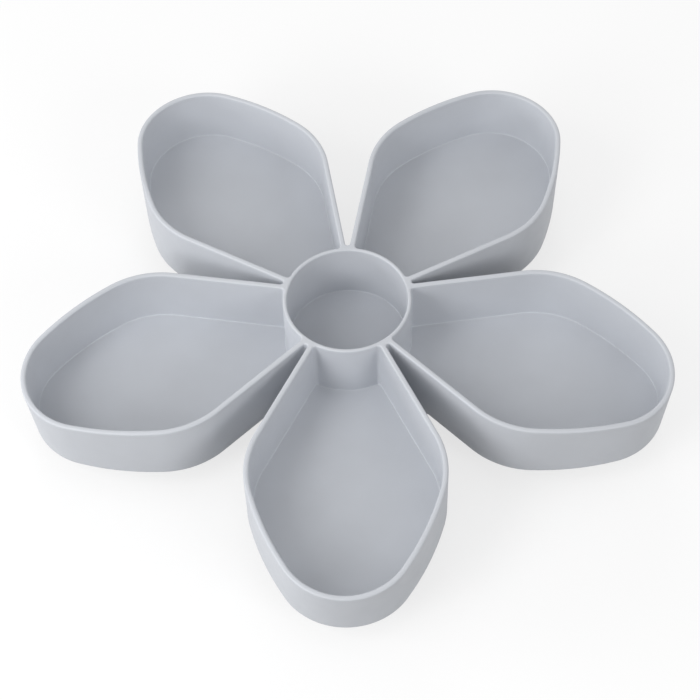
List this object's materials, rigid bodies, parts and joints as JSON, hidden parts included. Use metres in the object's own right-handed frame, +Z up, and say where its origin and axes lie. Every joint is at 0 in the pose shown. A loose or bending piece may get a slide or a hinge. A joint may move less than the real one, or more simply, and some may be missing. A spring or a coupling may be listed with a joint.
{
  "type": "rotating snack tray",
  "caption": "Flower-shaped snack tray with petal bowls round a central cup, turning on a low ball-bearing turntable with a non-slip pad.",
  "frame": {"origin": "on the spin axis, on the surface that the non-slip pad stands on", "axes": "+Z up along the spin axis; -Y along the first petal"},
  "size_m": [0.293, 0.2817, 0.048],
  "materials": {
    "tray_plastic": "matte moulded, cool light grey",
    "turntable_plastic": "matte moulded, mid grey",
    "cage_plastic": "natural white, low friction",
    "ball_steel": "polished",
    "steel": "zinc-plated",
    "rubber": "matte black"
  },
  "bodies": {
    "base": {"turntable_base": "turntable_plastic", "pivot_washer": "steel", "non_slip_pad": "rubber"},
    "cage": {"ball_cage": "cage_plastic"},
    "ball_01": {"bearing_ball_01": "ball_steel"},
    "ball_02": {"bearing_ball_02": "ball_steel"},
    "ball_03": {"bearing_ball_03": "ball_steel"},
    "ball_04": {"bearing_ball_04": "ball_steel"},
    "ball_05": {"bearing_ball_05": "ball_steel"},
    "ball_06": {"bearing_ball_06": "ball_steel"},
    "ball_07": {"bearing_ball_07": "ball_steel"},
    "ball_08": {"bearing_ball_08": "ball_steel"},
    "ball_09": {"bearing_ball_09": "ball_steel"},
    "ball_10": {"bearing_ball_10": "ball_steel"},
    "ball_11": {"bearing_ball_11": "ball_steel"},
    "ball_12": {"bearing_ball_12": "ball_steel"},
    "tray": {"petal_tray": "tray_plastic", "turntable_top": "turntable_plastic", "pivot_screw": "steel", "tray_screw_1": "steel", "tray_screw_2": "steel", "tray_screw_3": "steel", "tray_screw_4": "steel", "tray_screw_5": "steel"}
  },
  "joints": [
    {"name": "tray_spin", "type": "hinge", "parent": "base", "child": "tray", "pos_m": [0, 0, 0.0078], "axis": [0, 0, 1], "continuous": true},
    {"name": "cage_spin", "type": "hinge", "parent": "base", "child": "cage", "pos_m": [0, 0, 0.0078], "axis": [0, 0, 1], "continuous": true},
    {"name": "ball_01_roll", "type": "hinge", "parent": "cage", "child": "ball_01", "pos_m": [0.038, 0, 0.0078], "axis": [1, 0, 0], "continuous": true},
    {"name": "ball_02_roll", "type": "hinge", "parent": "cage", "child": "ball_02", "pos_m": [0.03291, 0.019, 0.0078], "axis": [0.866, 0.5, 0], "continuous": true},
    {"name": "ball_03_roll", "type": "hinge", "parent": "cage", "child": "ball_03", "pos_m": [0.019, 0.03291, 0.0078], "axis": [0.5, 0.866, 0], "continuous": true},
    {"name": "ball_04_roll", "type": "hinge", "parent": "cage", "child": "ball_04", "pos_m": [0, 0.038, 0.0078], "axis": [0, 1, 0], "continuous": true},
    {"name": "ball_05_roll", "type": "hinge", "parent": "cage", "child": "ball_05", "pos_m": [-0.019, 0.03291, 0.0078], "axis": [-0.5, 0.866, 0], "continuous": true},
    {"name": "ball_06_roll", "type": "hinge", "parent": "cage", "child": "ball_06", "pos_m": [-0.03291, 0.019, 0.0078], "axis": [-0.866, 0.5, 0], "continuous": true},
    {"name": "ball_07_roll", "type": "hinge", "parent": "cage", "child": "ball_07", "pos_m": [-0.038, 0, 0.0078], "axis": [-1, 0, 0], "continuous": true},
    {"name": "ball_08_roll", "type": "hinge", "parent": "cage", "child": "ball_08", "pos_m": [-0.03291, -0.019, 0.0078], "axis": [-0.866, -0.5, 0], "continuous": true},
    {"name": "ball_09_roll", "type": "hinge", "parent": "cage", "child": "ball_09", "pos_m": [-0.019, -0.03291, 0.0078], "axis": [-0.5, -0.866, 0], "continuous": true},
    {"name": "ball_10_roll", "type": "hinge", "parent": "cage", "child": "ball_10", "pos_m": [0, -0.038, 0.0078], "axis": [0, -1, 0], "continuous": true},
    {"name": "ball_11_roll", "type": "hinge", "parent": "cage", "child": "ball_11", "pos_m": [0.019, -0.03291, 0.0078], "axis": [0.5, -0.866, 0], "continuous": true},
    {"name": "ball_12_roll", "type": "hinge", "parent": "cage", "child": "ball_12", "pos_m": [0.03291, -0.019, 0.0078], "axis": [0.866, -0.5, 0], "continuous": true}
  ],
  "couplings": [
    {"joint": "cage_spin", "follows": "tray_spin", "ratio": 0.5},
    {"joint": "ball_01_roll", "follows": "tray_spin", "ratio": -6.3333},
    {"joint": "ball_02_roll", "follows": "tray_spin", "ratio": -6.3333},
    {"joint": "ball_03_roll", "follows": "tray_spin", "ratio": -6.3333},
    {"joint": "ball_04_roll", "follows": "tray_spin", "ratio": -6.3333},
    {"joint": "ball_05_roll", "follows": "tray_spin", "ratio": -6.3333},
    {"joint": "ball_06_roll", "follows": "tray_spin", "ratio": -6.3333},
    {"joint": "ball_07_roll", "follows": "tray_spin", "ratio": -6.3333},
    {"joint": "ball_08_roll", "follows": "tray_spin", "ratio": -6.3333},
    {"joint": "ball_09_roll", "follows": "tray_spin", "ratio": -6.3333},
    {"joint": "ball_10_roll", "follows": "tray_spin", "ratio": -6.3333},
    {"joint": "ball_11_roll", "follows": "tray_spin", "ratio": -6.3333},
    {"joint": "ball_12_roll", "follows": "tray_spin", "ratio": -6.3333}
  ]
}
